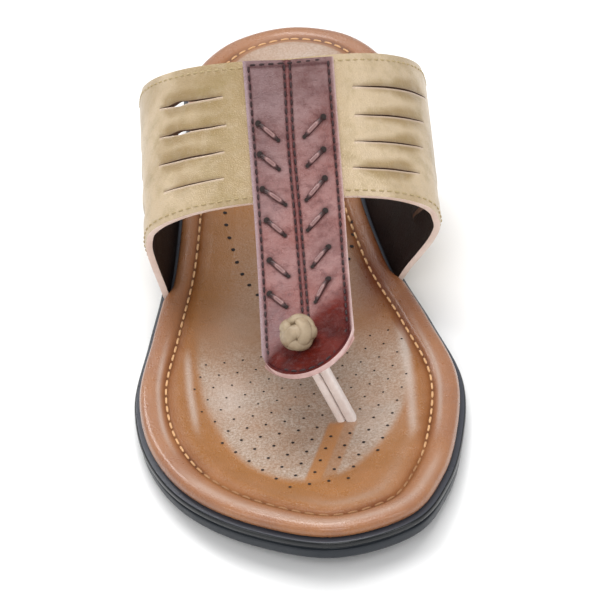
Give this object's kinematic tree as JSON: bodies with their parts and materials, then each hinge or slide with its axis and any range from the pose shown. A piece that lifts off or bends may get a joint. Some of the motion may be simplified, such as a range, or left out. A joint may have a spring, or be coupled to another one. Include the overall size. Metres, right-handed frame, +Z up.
{
  "type": "toe-post sandal",
  "caption": "Flat right-foot leather toe-post sandal: slit instep band, toe strap with knot and lace post, padded stitched footbed and thin rubber sole.",
  "frame": {"origin": "centre of the bounding box's bottom face, on the ground plane under the sole", "axes": "+Z up, -Y towards the toe, +X towards the inner (big toe) side of this right sandal"},
  "size_m": [0.0882, 0.25, 0.0745],
  "materials": {
    "outsole_rubber": "satin black, moulded",
    "footbed_leather": "glossy tan, perforated and stitched",
    "band_leather": "pebbled metallic beige, dark brown lining",
    "strap_leather": "burnished maroon brown",
    "post_lace": "pale pink, matt",
    "knot_leather": "beige, satin"
  },
  "bodies": {
    "root": {"outsole": "outsole_rubber", "footbed": "footbed_leather", "instep_band": "band_leather", "toe_strap": "strap_leather", "toe_post": "post_lace", "post_knot": "knot_leather"}
  },
  "joints": []
}
